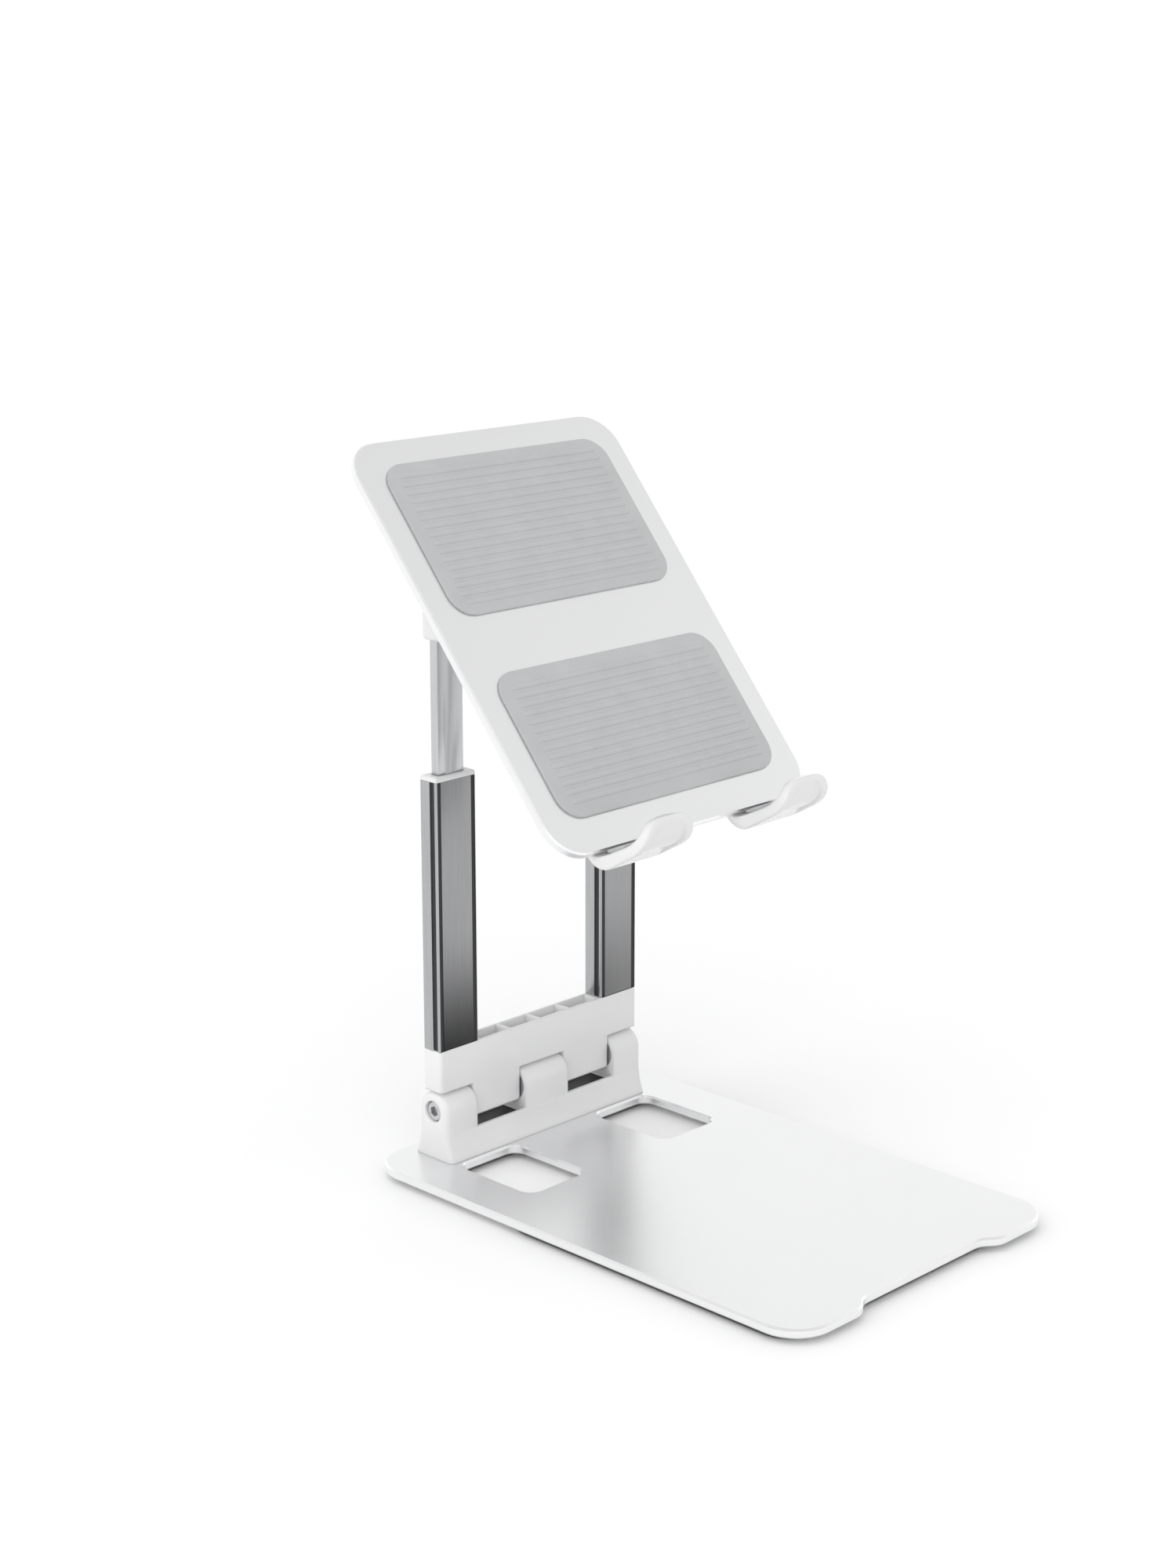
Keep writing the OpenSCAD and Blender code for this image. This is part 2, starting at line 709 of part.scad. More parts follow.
module tray_leaf() {
    d = leaf_v[1] - leaf_v[0];
    color("whitesmoke") in_tray() difference() {
        union() {
            translate([0, leaf_v[0] + d / 2, 0])
                slab(2 * leaf_half, d, 3, leaf_w[0], leaf_w[1], 0.2);
            both_sides() leaf_ear(ear_x[0] + side_gap, ear_x[1] - side_gap);
        }
        pin(-leaf_half, leaf_half, bolt2_r + run, tray_axis_v, axis_w);
        both_sides() for (x = leaf_screw_x) translate([x, leaf_screw_v, leaf_w[0] - 1])
            cylinder(h = 4, r = screw_r + fit);
    }
}

module leaf_screws() {
    color("silver") in_tray() both_sides() for (x = leaf_screw_x)
        translate([x, leaf_screw_v, 0]) flat_screw(screw_r, screw_head_r, -leaf_w[0], screw_drive_r);
}

module tray_plate() {
    color("gainsboro") in_tray() difference() {
        translate([0, tray_v[0] + tray_l / 2, 0])
            slab(tray_w, tray_l, tray_r, -tray_t, 0, tray_edge);
        both_sides() {
            for (x = leaf_screw_x) translate([x, leaf_screw_v, 0])
                flat_screw_hole(screw_r, screw_head_r, 6);
            for (v = hook_screw_v) translate([hook_x, v, -tray_t - 1])
                cylinder(h = 3.2, r = small_screw_r + fit);
        }
    }
}

// Catmull-Rom point between p[1] and p[2]
function spline(p, t) = 0.5 * (2 * p[1] + (p[2] - p[0]) * t
    + (2 * p[0] - 5 * p[1] + 4 * p[2] - p[3]) * t * t
    + (3 * p[1] - 3 * p[2] + p[3] - p[0]) * t * t * t);

function hook_at(s) = let (last = len(hook_line) - 1, k = min(floor(s), last - 1))
    spline([for (i = [-1:2]) hook_line[max(0, min(last, k + i))]], s - k);

// Half width of the hook at station s: full along the stem, closing to a rounded lip
function hook_half(s) = let (u = (s - hook_lip) / (len(hook_line) - 1 - hook_lip))
    u <= 0 ? hook_w / 2 : hook_w / 2 * pow(1 - pow(u, lip_power), 1 / lip_power);

function hook_ring(s) = let (
        c = hook_at(s),
        t = hook_at(s + 0.02) - hook_at(s - 0.02),
        normal = [t[1], -t[0]] / norm([t[0], t[1]]),
        half = hook_half(s))
    [for (p = rounded_rect(2 * half, 2 * c[2], min(hook_edge, half * 0.9, c[2] * 0.7), 3))
        [p[0], c[0] + p[1] * normal[0], c[1] + p[1] * normal[1]]];

hook_end = len(hook_line) - 1;
hook_stations = concat(
    [0.03, 1],
    [for (i = [2 * hook_steps:hook_lip * hook_steps]) i / hook_steps],
    [for (i = [1:lip_rings]) hook_lip + (hook_end - hook_lip) * sin(87.3 * i / lip_rings)]);

// One hook: a flat root behind the tray, a stem under its edge and a curled lip
module hook() {
    color("white") difference() {
        skin([for (s = hook_stations) hook_ring(s)]);
        for (v = hook_screw_v) translate([0, v, -8]) cylinder(h = 6, r = small_screw_r + fit);
    }
}

module left_hook() {
    in_tray() translate([-hook_x, 0, 0]) hook();
}

module right_hook() {
    in_tray() translate([hook_x, 0, 0]) hook();
}

module hook_screws() {
    back = hook_line[0][1] - hook_line[0][2];
    color("silver") in_tray() both_sides() for (v = hook_screw_v) translate([hook_x, v, back])
        difference() {
            union() {
                translate([0, 0, -hook_head[1]]) cylinder(h = hook_head[1], r = hook_head[0]);
                cylinder(h = hook_screw_l, r = small_screw_r);
            }
            translate([0, 0, -hook_head[1]]) rotate([180, 0, 0]) hex_socket(1, 0.8);
        }
}

// Soft strip in a hook's seat, where the tablet's edge rests: [v, w] along its underside and its top
seat_under = [[-0.15, 0.3], [-1.35, 1.9], [-2.15, 4.6], [-2.8, 7.2]];
seat_top = [[-1.5, 7.4], [-0.7, 5], [0.1, 2], [0.5, 0.3]];

module hook_pad() {
    color("lightgray") along_x(3 - hook_w / 2, hook_w / 2 - 3)
        polygon(concat(seat_under, seat_top));
}

module left_hook_pad() {
    in_tray() translate([-hook_x, 0, 0]) hook_pad();
}

module right_hook_pad() {
    in_tray() translate([hook_x, 0, 0]) hook_pad();
}

module tray_pad(v) {
    color("lightgray") in_tray() translate([0, (v[0] + v[1]) / 2, 0])
        slab(pad_w, v[1] - v[0], pad_r, 0, pad_t, 0.3);
}

module lower_tray_pad() {
    tray_pad(lower_pad_v);
}

module upper_tray_pad() {
    tray_pad(upper_pad_v);
}

base_plate();
front_mat();
rear_pads();
hinge_bracket();
bracket_screws();
hinge_bolt();
hinge_nut();
hinge_washers();
hinge_springs();
hinge_block();
left_arm();
right_arm();
left_arm_inlay();
right_arm_inlay();
left_arm_trims();
right_arm_trims();
left_arm_cap();
right_arm_cap();
rod_liners();
arm_screws();
left_rod();
right_rod();
rod_glides();
upper_block();
rod_screws();
tray_bolt();
tray_nut();
tray_washers();
tray_springs();
tray_leaf();
leaf_screws();
tray_plate();
left_hook();
right_hook();
hook_screws();
left_hook_pad();
right_hook_pad();
lower_tray_pad();
upper_tray_pad();
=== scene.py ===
"""Looks of a folding tablet stand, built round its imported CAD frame. Units are metres."""

import json
import math

import bmesh
import bpy
from mathutils import Euler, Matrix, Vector


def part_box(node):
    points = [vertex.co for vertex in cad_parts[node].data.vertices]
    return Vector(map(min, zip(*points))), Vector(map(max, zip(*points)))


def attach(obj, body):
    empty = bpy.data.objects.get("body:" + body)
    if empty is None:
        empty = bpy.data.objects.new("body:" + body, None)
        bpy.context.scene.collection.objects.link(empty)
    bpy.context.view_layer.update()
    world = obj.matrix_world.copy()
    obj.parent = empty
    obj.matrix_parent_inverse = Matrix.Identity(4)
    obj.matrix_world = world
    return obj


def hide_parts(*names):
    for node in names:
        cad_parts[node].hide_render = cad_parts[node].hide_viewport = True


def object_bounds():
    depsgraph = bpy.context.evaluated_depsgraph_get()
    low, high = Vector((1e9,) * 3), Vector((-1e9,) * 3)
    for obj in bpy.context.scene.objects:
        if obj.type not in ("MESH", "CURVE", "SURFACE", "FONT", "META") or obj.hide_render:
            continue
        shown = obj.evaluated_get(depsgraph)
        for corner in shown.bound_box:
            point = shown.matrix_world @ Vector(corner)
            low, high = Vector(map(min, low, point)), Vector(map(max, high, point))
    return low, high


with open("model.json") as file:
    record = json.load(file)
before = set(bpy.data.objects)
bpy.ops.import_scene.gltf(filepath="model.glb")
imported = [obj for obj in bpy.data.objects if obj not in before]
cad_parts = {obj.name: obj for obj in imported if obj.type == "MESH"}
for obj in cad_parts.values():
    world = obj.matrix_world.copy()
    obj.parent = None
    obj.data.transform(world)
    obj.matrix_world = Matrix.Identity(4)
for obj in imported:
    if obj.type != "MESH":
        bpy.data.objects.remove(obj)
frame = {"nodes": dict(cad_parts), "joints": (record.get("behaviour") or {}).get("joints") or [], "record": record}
cad_low, cad_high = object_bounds()

MM = 0.001
MICRON = 0.001 * MM
JOINTS = {j["name"]: j for j in frame["joints"]}
SLOTS = {s["node"]: s["material_slot"] for s in frame["record"]["subparts"]}
TRAY_MOUNT = next(m for m in frame["record"]["mounts"] if m["name"] == "tray_face")

# The frame's axes, and the tray's: X across, TRAY_UP along its front face, TRAY_NORMAL out of it
X = Vector((1, 0, 0))
Y = Vector((0, 1, 0))
Z = Vector((0, 0, 1))
TRAY_NORMAL = Vector(TRAY_MOUNT["axis"]).normalized()
TRAY_UP = TRAY_NORMAL.cross(X)
TRAY_ORIGIN = Vector(TRAY_MOUNT["pos_m"])

# Meshes of the finished CAD copies
WELD = 2 * MICRON           # corners closer than this are one
FLAT = math.radians(0.6)    # faces that meet at less than this are one
SHARP = math.radians(32)    # edges that turn more than this are broken
EDGE_SEGMENTS = 2
SMOOTH = 40                 # degrees below which an edge is shaded smooth
SMOOTH_SILICONE = 50
SMOOTH_HOOK = 50
SMOOTH_PLATE = 20           # keeps a plate's chamfers crisp

# Width in millimetres of the round on each node's edges
CASTING_ROUNDS = {"hinge_bracket": 0.35, "hinge_block": 0.35, "upper_block": 0.3, "tray_leaf": 0.25}
ARM_ROUNDS = {"arm": 0.2, "arm_inlay": 0.12, "arm_cap": 0.15, "rod": 0.25}
HOOK_PAD_ROUND = 0.3
FASTENERS = ("hinge_bolt", "hinge_nut", "tray_bolt", "tray_nut", "hook_screws", "arm_screws", "rod_screws")
FASTENER_ROUND = 0.08

# Lean of a plate's chamfers, as the cosine to the plate's axis
CHAMFER_LEAN = (0.25, 0.96)

# Box round the bracket's troughs, from the hinge axis; the faces inside it get painted shade in black
PAINTED_SHADE_TROUGH_LOW = Vector((-32, -5.5, -9)) * MM
PAINTED_SHADE_TROUGH_HIGH = Vector((32, 5.5, -7.1)) * MM

# Silicone pads
SLAB_EDGE = 0.4 * MM        # round on a pad's outer edge
TRAY_PAD_RADIUS = 8 * MM
TRAY_RIB_PITCH = 3 * MM
TRAY_RIB_HEIGHT = 0.35 * MM
MAT_RADIUS = 9 * MM
MAT_RIB_PITCH = 4 * MM
BASE_RIB_HEIGHT = 0.4 * MM
BORDER_SHARE = 0.55         # a pad's plain border, as a share of its corner radius
RIB_SHARE = 0.3             # half a rib's width, as a share of the pitch
REAR_PAD_RADIUS = 4 * MM
REAR_RIB_PITCH = 3 * MM
REAR_RIB_HALF = 0.9 * MM
REAR_BORDER = 3 * MM
RIB_ENDS = ((0, 0.15), (0.3, 0.7), (1, 1))  # distance from a rib's end and size there, per half width

# Raised rim round a hook's lip
LIP_RIM = 2.1 * MM
LIP_WALL = 0.7 * MM         # width of the slope from the rim to the sunk face
LIP_DEPTH = 0.7 * MM
LIP_START = 3 * MM          # height above the tray where the face begins to sink
LIP_RAMP = 4 * MM
LIP_FOOT = 2 * MM           # the lip's face begins this high above the tray
LIP_FACING = 0.12           # it faces down the tray by at least this much
LIP_LEVEL = 0.2             # and sideways by less than this
LIP_CUTS = 60
LIP_CROSSING = 4 * MM       # edges that reach further than this in X run across the lip
STEM_TOP = 4 * MM           # below this, the edges across the hook belong to its stem
STEM_ACROSS = 0.9           # they run along X by at least this much


# ---------- nodes of the materials ----------

def shader_of(material):
    return material.node_tree.nodes["Principled BSDF"]


def new_material(name, color, metallic=0.0, roughness=0.5, coat=0.0, coat_roughness=0.1):
    """A material with its constants set on the shader's own sockets."""
    material = bpy.data.materials.new(name)
    material.use_nodes = True
    shader = shader_of(material)
    shader.inputs["Base Color"].default_value = (*color, 1)
    shader.inputs["Metallic"].default_value = metallic
    shader.inputs["Roughness"].default_value = roughness
    shader.inputs["Coat Weight"].default_value = coat
    shader.inputs["Coat Roughness"].default_value = coat_roughness
    return material


def add_node(owner, kind, **values):
    """A node in a material or world, with its inputs or settings by name."""
    node = owner.node_tree.nodes.new(kind)
    for key, value in values.items():
        if key in node.inputs:
            node.inputs[key].default_value = value
        else:
            setattr(node, key, value)
    return node


def join(owner, output, socket):
    owner.node_tree.links.new(output, socket)


def map_range(owner, value, span, result, ease="LINEAR"):
    """Node that maps a value from the span (low, high) to the result (low, high)."""
    node = add_node(owner, "ShaderNodeMapRange", interpolation_type=ease)
    for name, end in zip(("From Min", "From Max", "To Min", "To Max"), (*span, *result)):
        node.inputs[name].default_value = end
    join(owner, value, node.inputs["Value"])
    return node


def axes(owner, coordinates):
    """The X, Y and Z of a set of texture coordinates."""
    coords = add_node(owner, "ShaderNodeTexCoord")
    split = add_node(owner, "ShaderNodeSeparateXYZ")
    join(owner, coords.outputs[coordinates], split.inputs["Vector"])
    return split.outputs


def stretched(material, scale):
    """Object coordinates, scaled along each axis, for grain that runs one way."""
    coords = add_node(material, "ShaderNodeTexCoord")
    mapping = add_node(material, "ShaderNodeMapping", Scale=scale)
    join(material, coords.outputs["Object"], mapping.inputs["Vector"])
    return mapping.outputs["Vector"]


def noise(material, size, detail=3.0, scale=(1, 1, 1)):
    """Noise with features of about that size."""
    node = add_node(material, "ShaderNodeTexNoise", Scale=1 / size, Detail=detail, Roughness=0.55)
    join(material, stretched(material, scale), node.inputs["Vector"])
    return node.outputs["Fac"]


def spread(material, factor, low, high):
    """Maps the range that noise mostly keeps to, to low..high."""
    return map_range(material, factor, span=(0.3, 0.7), result=(low, high)).outputs["Result"]


def tint(material, factor, first, second):
    """Base colour that wanders between two colours."""
    node = add_node(material, "ShaderNodeMix", data_type="RGBA")
    factor_socket, first_socket, second_socket = (node.inputs[k] for k in (0, 6, 7))
    first_socket.default_value = (*first, 1)
    second_socket.default_value = (*second, 1)
    join(material, factor, factor_socket)
    join(material, node.outputs[2], shader_of(material).inputs["Base Color"])


def rough(material, factor, low, high):
    join(material, spread(material, factor, low, high), shader_of(material).inputs["Roughness"])


def bumpy(material, factor, depth, strength=1.0, rounding=0.0):
    """Relief of that depth, and edges that shade as if rounded."""
    node = add_node(material, "ShaderNodeBump", Strength=strength, Distance=depth)
    join(material, factor, node.inputs["Height"])
    if rounding:
        edge = add_node(material, "ShaderNodeBevel", samples=8, Radius=rounding)
        join(material, edge.outputs["Normal"], node.inputs["Normal"])
    join(material, node.outputs["Normal"], shader_of(material).inputs["Normal"])


# ---------- materials ----------

def satin_aluminium():
    """Bead-blasted, clear anodised plate."""
    m = new_material("satin_aluminium", (0.91, 0.913, 0.917), metallic=1.0, roughness=0.3)
    tint(m, noise(m, 50 * MM), (0.885, 0.888, 0.893), (0.91, 0.913, 0.917))
    rough(m, noise(m, 4 * MM), 0.285, 0.315)
    bumpy(m, noise(m, 0.35 * MM, 2.0), 6 * MICRON, 0.5)
    return m


def cut_aluminium():
    """Bright diamond-cut edge with fine lines along it."""
    m = new_material("cut_aluminium", (0.95, 0.95, 0.96), metallic=0.9, roughness=0.16)
    tint(m, noise(m, 10 * MM), (0.9, 0.9, 0.91), (0.97, 0.97, 0.98))
    rough(m, noise(m, 2 * MM), 0.12, 0.2)
    bumpy(m, noise(m, 0.4 * MM, 2.0, (1, 1, 6)), 4 * MICRON, 0.5)
    return m


def white_coated():
    """Fine powder coat on the hinge castings."""
    m = new_material("white_coated", (0.73, 0.73, 0.735), roughness=0.42, coat=0.15, coat_roughness=0.3)
    tint(m, noise(m, 12 * MM), (0.71, 0.71, 0.716), (0.75, 0.75, 0.753))
    rough(m, noise(m, 3 * MM), 0.38, 0.48)
    bumpy(m, noise(m, 0.5 * MM, 3.0), 20 * MICRON, 0.5, 0.9 * MM)
    return m


def gloss_white():
    """Glossy moulded hooks."""
    m = new_material("gloss_white", (0.72, 0.72, 0.72), roughness=0.2, coat=0.6, coat_roughness=0.06)
    tint(m, noise(m, 20 * MM), (0.71, 0.71, 0.712), (0.735, 0.735, 0.735))
    rough(m, noise(m, 4 * MM), 0.17, 0.24)
    bumpy(m, noise(m, 1.5 * MM, 1.0), 8 * MICRON, 0.4, 0.8 * MM)
    return m


def white_plastic():
    """Satin moulded collars, sleeves and shoes."""
    m = new_material("white_plastic", (0.73, 0.73, 0.73), roughness=0.4)
    tint(m, noise(m, 6 * MM), (0.71, 0.71, 0.715), (0.75, 0.75, 0.75))
    rough(m, noise(m, 2 * MM), 0.36, 0.46)
    bumpy(m, noise(m, 0.4 * MM, 2.0), 10 * MICRON, 0.5)
    return m


def drawn_metal(name, dark, light, low, high):
    """Metal with fine lines along Z, as an extrusion or a drawn bar has."""
    m = new_material(name, light, metallic=1.0, roughness=high)
    grain = noise(m, 0.35 * MM, 2.0, (1, 1, 0.012))
    tint(m, spread(m, grain, 0, 1), dark, light)
    rough(m, grain, low, high)
    bumpy(m, grain, 6 * MICRON, 0.6)
    return m


def satin_strip_painted_reflection():
    """The arms' front strips: finely drawn, with a painted dark reflection that makes them darker towards the
    hinge, most of all the left one.
    """
    m = drawn_metal("arm_inlay", (0.33, 0.332, 0.337), (0.37, 0.372, 0.378), 0.3, 0.36)
    # Painted dark reflection: the base colour is scaled down towards the foot of each strip, more on the left
    # strip than the right
    left_foot_painted_reflection, right_foot_painted_reflection = 0.12, 0.6
    place = axes(m, "Object")
    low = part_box("left_arm_inlay")[0].z
    foot_painted_reflection = map_range(m, place["X"], span=(-1 * MM, 1 * MM), result=(left_foot_painted_reflection, right_foot_painted_reflection))
    painted_reflection_fade = map_range(m, place["Z"], span=(low - 5 * MM, low + 40 * MM), result=(0, 1), ease="SMOOTHSTEP")
    join(m, foot_painted_reflection.outputs["Result"], painted_reflection_fade.inputs["To Min"])
    color = shader_of(m).inputs["Base Color"]
    shade = add_node(m, "ShaderNodeVectorMath", operation="SCALE")
    join(m, color.links[0].from_socket, shade.inputs[0])
    join(m, painted_reflection_fade.outputs["Result"], shade.inputs["Scale"])
    join(m, shade.outputs["Vector"], color)
    return m


def black_trim_and_painted_shade():
    """Matte black strips in the arms' grooves, their black being painted shade in the grooves; also painted shade
    in the bracket's troughs.
    """
    m = new_material("dark_trim", (0.012, 0.012, 0.013), roughness=0.5)
    tint(m, noise(m, 4 * MM), (0.008, 0.008, 0.009), (0.018, 0.018, 0.02))
    bumpy(m, noise(m, 0.4 * MM, 2.0), 10 * MICRON, 0.5)
    return m


def bright_steel(name, color, low, high):
    """Turned and plated fastener."""
    m = new_material(name, color, metallic=1.0, roughness=high)
    worn = [0.93 * c for c in color]
    tint(m, noise(m, 2 * MM), worn, color)
    rough(m, noise(m, 0.8 * MM), low, high)
    bumpy(m, noise(m, 0.2 * MM, 2.0), 3 * MICRON, 0.5)
    return m


def silicone(name, dark, light):
    """Matte silicone of the pads and mats."""
    m = new_material(name, light, roughness=0.6)
    shader_of(m).inputs["Sheen Weight"].default_value = 0.25
    tint(m, noise(m, 9 * MM), dark, light)
    rough(m, noise(m, 2 * MM), 0.55, 0.7)
    bumpy(m, noise(m, 0.3 * MM, 3.0), 15 * MICRON, 0.6)
    return m


def floor_paper():
    m = new_material("floor_paper", (0.96, 0.96, 0.96), roughness=0.75)
    tint(m, noise(m, 300 * MM), (0.955, 0.955, 0.955), (0.965, 0.965, 0.965))
    return m


MATERIALS = {
    "satin_aluminium": satin_aluminium(),
    "white_coated": white_coated(),
    "gloss_white": gloss_white(),
    "white_plastic": white_plastic(),
    "arm_aluminium": drawn_metal("arm_aluminium", (0.42, 0.425, 0.435), (0.49, 0.495, 0.505), 0.22, 0.3),
    # The arms' strips carry a painted dark reflection, darker towards the hinge
    "arm_inlay": satin_strip_painted_reflection(),
    # This black is painted shade in the arms' grooves and the bracket's troughs
    "dark_trim": black_trim_and_painted_shade(),
    "bar_steel": drawn_metal("bar_steel", (0.54, 0.54, 0.55), (0.62, 0.625, 0.635), 0.18, 0.26),
    "screw_steel": bright_steel("screw_steel", (0.62, 0.62, 0.64), 0.2, 0.32),
    "spring_steel": bright_steel("spring_steel", (0.4, 0.4, 0.42), 0.3, 0.4),
    "dark_silicone": silicone("dark_silicone", (0.018, 0.018, 0.02), (0.03, 0.03, 0.032)),
    "light_silicone": silicone("light_silicone", (0.42, 0.425, 0.43), (0.48, 0.485, 0.49)),
}
CUT_EDGE = cut_aluminium()


# ---------- finished CAD nodes ----------

def body_name(node):
    bodies = frame["record"]["behaviour"]["bodies"]
    return next(body for body, nodes in bodies.items() if node in nodes)


def stand_for(bm, name, node, smooth=SMOOTH):
    """A piece from a bmesh that takes a CAD node's place, smooth below that angle between faces."""
    bmesh.ops.recalc_face_normals(bm, faces=bm.faces)
    mesh = bpy.data.meshes.new(name)
    bm.to_mesh(mesh)
    bm.free()
    mesh.shade_smooth()
    mesh.set_sharp_from_angle(angle=math.radians(smooth))
    mesh.materials.append(MATERIALS[SLOTS[node]])
    piece = bpy.data.objects.new(name, mesh)
    bpy.context.scene.collection.objects.link(piece)
    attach(piece, body_name(node))
    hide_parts(node)
    return piece


def is_sharp(edge):
    return len(edge.link_faces) == 2 and edge.calc_face_angle() > SHARP


def finished(node, width_mm=0.0, smooth=SMOOTH):
    """A copy of a CAD node with its sharp edges broken by a small round."""
    bm = bmesh.new()
    bm.from_mesh(frame["nodes"][node].data)
    bmesh.ops.remove_doubles(bm, verts=bm.verts, dist=WELD)
    bmesh.ops.dissolve_limit(bm, angle_limit=FLAT, verts=bm.verts, edges=bm.edges)
    if width_mm:
        edges = [e for e in bm.edges if is_sharp(e)]
        bmesh.ops.bevel(bm, geom=edges, offset=width_mm * MM, offset_type="OFFSET",
                        segments=EDGE_SEGMENTS, profile=0.5, affect="EDGES", clamp_overlap=True)
    return stand_for(bm, node + "_finished", node, smooth)


def paint_faces(piece, material, wanted):
    """Gives the faces that the test wants another material."""
    piece.data.materials.append(material)
    last = len(piece.data.materials) - 1
    for face in piece.data.polygons:
        if wanted(face):
            face.material_index = last


def paint_chamfers(piece, axis):
    """Gives a plate's chamfered faces, which lean off its axis, the bright cut finish."""
    low, high = CHAMFER_LEAN
    paint_faces(piece, CUT_EDGE, lambda face: low < abs(face.normal.dot(axis)) < high)


def paint_box(piece, low, high, material):
    """Gives the faces whose middle lies between two corners another material."""
    paint_faces(piece, material, lambda face: all(a < c < b for a, c, b in zip(low, face.center, high)))


def build_plates():
    paint_chamfers(finished("base_plate", smooth=SMOOTH_PLATE), Z)
    paint_chamfers(finished("tray_plate", smooth=SMOOTH_PLATE), TRAY_NORMAL)


def build_castings():
    castings = {node: finished(node, width) for node, width in CASTING_ROUNDS.items()}
    axis = Vector(JOINTS["arm_lean"]["pos_m"])
    # The troughs under the turning knuckles get painted shade: their faces take the black trim material in place
    # of the shade in them
    paint_box(castings["hinge_bracket"], axis + PAINTED_SHADE_TROUGH_LOW, axis + PAINTED_SHADE_TROUGH_HIGH, MATERIALS["dark_trim"])


def build_arms_and_hooks():
    for side in ("left_", "right_"):
        for node, width in ARM_ROUNDS.items():
            finished(side + node, width)
        dish(finished(side + "hook", smooth=SMOOTH_HOOK))
        finished(side + "hook_pad", HOOK_PAD_ROUND)


def build_fasteners():
    for node in FASTENERS:
        finished(node, FASTENER_ROUND)


# ---------- rims of the hooks' lips ----------

def tray_height(point):
    return (point - TRAY_ORIGIN).dot(TRAY_NORMAL)


def is_lip_face(face):
    """Whether a face of a hook belongs to the broad outside of its lip."""
    outwards = -face.normal.dot(TRAY_UP) > LIP_FACING
    level = abs(face.normal.x) < LIP_LEVEL
    return outwards and level and tray_height(face.calc_center_median()) > LIP_FOOT


def is_stem_edge(edge):
    """Whether an edge crosses the hook where the lip's face begins."""
    a, b = (v.co for v in edge.verts)
    return abs((a - b).normalized().x) > STEM_ACROSS and tray_height(a) < STEM_TOP


def is_crossing(edge):
    """Whether an edge of a lip's face runs across the hook."""
    a, b = edge.verts
    return abs((a.co - b.co).x) > LIP_CROSSING and any(is_lip_face(f) for f in edge.link_faces)


def distance_to_segment(point, a, b):
    """Shortest way from a point to the straight line between a and b."""
    along = b - a
    t = max(0.0, min(1.0, (point - a).dot(along) / max(along.length_squared, 1e-12)))
    return (point - a - along * t).length


def ramp(value, start, length):
    """0 up to the start, 1 past the length from there, and a straight line between."""
    return min(1.0, max(0.0, (value - start) / length))


def sinking(point, outline_edges):
    """How far the lip's face sinks at a point: nothing on the rim and on the stem."""
    away = min(distance_to_segment(point, a, b) for a, b in outline_edges)
    share = ramp(away, LIP_RIM, LIP_WALL)
    soft = share * share * (3 - 2 * share)
    return LIP_DEPTH * soft * ramp(tray_height(point), LIP_START, LIP_RAMP)


def dish(piece):
    """Sinks the outer face of a hook's lip inside a raised rim that follows its outline."""
    bm = bmesh.new()
    bm.from_mesh(piece.data)
    crossing = [e for e in bm.edges if is_crossing(e)]
    bmesh.ops.subdivide_edges(bm, edges=crossing, cuts=LIP_CUTS, use_grid_fill=True)
    face = [f for f in bm.faces if is_lip_face(f)]
    border = {e for f in face for e in f.edges if not all(is_lip_face(g) for g in e.link_faces)}
    outline_edges = [tuple(v.co.copy() for v in e.verts) for e in border if not is_stem_edge(e)]
    corners = {v for f in face for v in f.verts}
    moves = [(v, -v.normal * sinking(v.co, outline_edges)) for v in corners]
    for v, move in moves:
        v.co += move
    bm.to_mesh(piece.data)
    bm.free()
    piece.data.shade_smooth()


# ---------- ribbed silicone ----------

def placed(origin, along=Y, up=Z):
    """Function that puts (x, y, height) in place, from an origin and the directions of y and height."""
    return lambda x, y, z: origin + X * x + along * y + up * z


def outline(width, depth, radius, inset, steps=8):
    """Corner points of a rounded rectangle drawn in by inset, counter-clockwise."""
    points = []
    for k, (sx, sy) in enumerate(((1, 1), (-1, 1), (-1, -1), (1, -1))):
        cx, cy = sx * (width / 2 - radius), sy * (depth / 2 - radius)
        for i in range(steps + 1):
            a = math.radians(90 * (k + i / steps))
            points.append((cx + (radius - inset) * math.cos(a), cy + (radius - inset) * math.sin(a)))
    return points


def add_rings(bm, rings, place):
    """Closed skin through rings of points, each put in place by a function."""
    rows = [[bm.verts.new(place(*p)) for p in ring] for ring in rings]
    count = len(rows[0])
    for low, high in zip(rows, rows[1:]):
        for i in range(count):
            j = (i + 1) % count
            bm.faces.new((low[i], low[j], high[j], high[i]))
    bm.faces.new(rows[0][::-1])
    bm.faces.new(rows[-1])


def rounded_slab(bm, width, depth, radius, low, top, place):
    """Slab from the level low to the level top, above or below it, with a soft edge at the top."""
    sign = math.copysign(1, top - low)
    levels = []
    for a in (math.radians(d) for d in (0, 45, 90)):
        levels.append((SLAB_EDGE / 2 * (1 - math.sin(a)), low + sign * SLAB_EDGE / 2 * (1 - math.cos(a))))
    for a in (math.radians(d) for d in (0, 22.5, 45, 67.5, 90)):
        levels.append((SLAB_EDGE * (1 - math.cos(a)), top - sign * SLAB_EDGE * (1 - math.sin(a))))
    rings = [[(x, y, z) for x, y in outline(width, depth, radius, inset)] for inset, z in levels]
    add_rings(bm, rings, place)


def rib(bm, reach, y, base, height, half, place, steps=10):
    """Half-round rib from -reach to reach along X with rounded ends, standing on the level base."""
    near = [(half * distance - reach, size) for distance, size in RIB_ENDS]
    far = [(-x, size) for x, size in reversed(near)]
    rings = []
    for x, size in near + far:
        turns = [math.pi * k / steps for k in range(steps, -1, -1)]
        rings.append([(x, y + half * size * math.cos(a), base + height * size * math.sin(a)) for a in turns])
    add_rings(bm, rings, place)


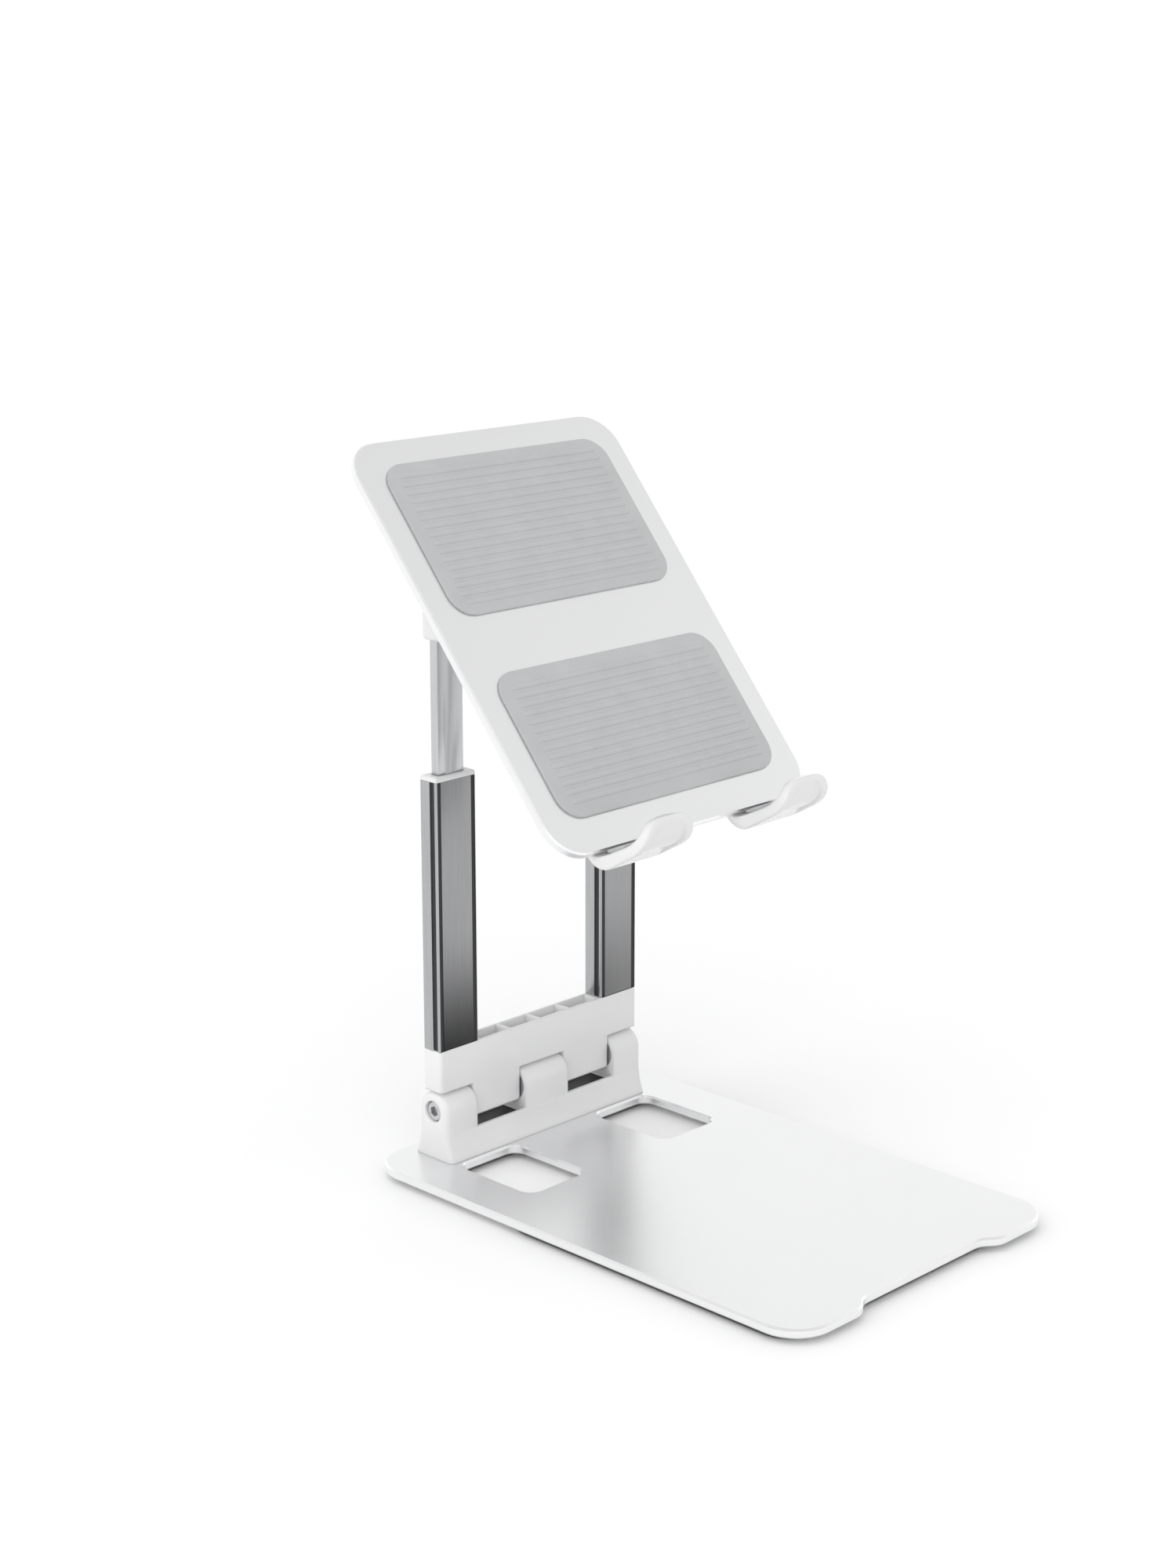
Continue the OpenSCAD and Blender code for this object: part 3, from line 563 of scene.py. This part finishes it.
def ribbed_pad(node, size, radius, low, high, pitch, rib_height, place):
    """Pad with rows of low ribs, framed by a plain border. The ribs end at the level high."""
    width, depth = size
    top = high - math.copysign(rib_height, high - low)
    bm = bmesh.new()
    rounded_slab(bm, width, depth, radius, low, top, place)
    border = radius * BORDER_SHARE
    rows = int((depth - 2 * border) / pitch)
    for k in range(rows + 1):
        y = (k - rows / 2) * pitch
        corner = max(0.0, abs(y) - (depth / 2 - radius))
        reach = width / 2 - radius + math.sqrt(max(0.0, radius ** 2 - corner ** 2)) - border
        rib(bm, reach, y, top, high - top, pitch * RIB_SHARE, place)
    stand_for(bm, node + "_ribbed", node, SMOOTH_SILICONE)


def node_span(node, direction):
    """Lowest and highest reach of a CAD node along a direction, from the tray mount."""
    reach = [(v.co - TRAY_ORIGIN).dot(direction) for v in frame["nodes"][node].data.vertices]
    return min(reach), max(reach)


def build_tray_pads():
    for node in ("lower_tray_pad", "upper_tray_pad"):
        low_v, high_v = node_span(node, TRAY_UP)
        low_w, high_w = node_span(node, TRAY_NORMAL)
        low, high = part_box(node)
        size = (high.x - low.x, high_v - low_v)
        place = placed(TRAY_ORIGIN + TRAY_UP * (low_v + high_v) / 2, TRAY_UP, TRAY_NORMAL)
        ribbed_pad(node, size, TRAY_PAD_RADIUS, low_w, high_w, TRAY_RIB_PITCH, TRAY_RIB_HEIGHT, place)


def build_front_mat():
    """The mat under the plate, ribbed on its underside."""
    low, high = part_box("front_mat")
    size = (high.x - low.x, high.y - low.y)
    place = placed(Vector((low.x + high.x, low.y + high.y, 0)) / 2)
    ribbed_pad("front_mat", size, MAT_RADIUS, high.z, low.z, MAT_RIB_PITCH, BASE_RIB_HEIGHT, place)


def build_rear_pads():
    """The two pads under the hinge, ribbed on their undersides."""
    low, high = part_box("rear_pads")
    inner = min(abs(v.co.x) for v in frame["nodes"]["rear_pads"].data.vertices)
    width, depth = high.x - inner, high.y - low.y
    top = low.z + BASE_RIB_HEIGHT
    bm = bmesh.new()
    for side in (-1, 1):
        place = placed(Vector((side * (inner + high.x), low.y + high.y, 0)) / 2)
        rounded_slab(bm, width, depth, REAR_PAD_RADIUS, high.z, top, place)
        for k in range(-2, 3):
            rib(bm, width / 2 - REAR_BORDER, k * REAR_RIB_PITCH, top, -BASE_RIB_HEIGHT, REAR_RIB_HALF, place)
    stand_for(bm, "rear_pads_ribbed", "rear_pads", SMOOTH_SILICONE)


def dress_plain_nodes():
    """CAD nodes whose shape is right keep it and only get their material."""
    for name, node in frame["nodes"].items():
        if node.hide_render:
            continue
        node.data.materials.clear()
        node.data.materials.append(MATERIALS[SLOTS[name]])


# ---------- stage ----------

def add_object(name, data):
    thing = bpy.data.objects.new(name, data)
    bpy.context.scene.collection.objects.link(thing)
    return thing


def add_floor():
    """Pale floor, just under the stand, that reaches nearly to the horizon."""
    half = 60
    mesh = bpy.data.meshes.new("floor")
    corners = [(-half, -half, 0), (half, -half, 0), (half, half, 0), (-half, half, 0)]
    mesh.from_pydata(corners, [], [(0, 1, 2, 3)])
    mesh.materials.append(floor_paper())
    floor = add_object("floor", mesh)
    floor.location.z = cad_low.z - 0.02 * MM


def add_key(azimuth, elevation, strength, spread_angle):
    """Broad, even light from one side, with its angles in degrees, that no metal mirrors."""
    light = bpy.data.lights.new("key", "SUN")
    light.energy = strength
    light.angle = math.radians(spread_angle)
    lamp = add_object("key", light)
    lamp.visible_glossy = False
    a, e = math.radians(azimuth), math.radians(elevation)
    away = Vector((math.sin(a) * math.cos(e), -math.cos(a) * math.cos(e), math.sin(e)))
    lamp.rotation_euler = away.to_track_quat("Z", "Y").to_euler()


def add_studio():
    """A white room that is brightest towards the horizon."""
    world = bpy.data.worlds.new("studio")
    world.use_nodes = True
    horizon, overhead = 1.06, 0.76
    height = axes(world, "Generated")["Z"]
    fall = map_range(world, height, span=(0.3, 0.8), result=(horizon, overhead), ease="SMOOTHSTEP")
    background = world.node_tree.nodes["Background"]
    background.inputs["Color"].default_value = (1, 1, 1, 1)
    join(world, fall.outputs["Result"], background.inputs["Strength"])
    bpy.context.scene.world = world


def add_camera():
    """Camera solved from the photograph: front left, above the stand's top, looking 15 degrees down."""
    data = bpy.data.cameras.new("camera")
    data.lens = 62.75
    data.sensor_width = 36
    camera = add_object("camera", data)
    camera.location = (-0.5864, -0.5240, 0.3427)
    camera.rotation_euler = Euler((math.radians(75.08), 0, math.radians(-45.59)))
    bpy.context.scene.camera = camera


add_camera()
add_floor()
add_key(azimuth=-80, elevation=40, strength=1.1, spread_angle=90)
add_studio()
bpy.context.scene.view_settings.view_transform = "Standard"

build_plates()
build_castings()
build_arms_and_hooks()
build_fasteners()
build_tray_pads()
build_front_mat()
build_rear_pads()
dress_plain_nodes()
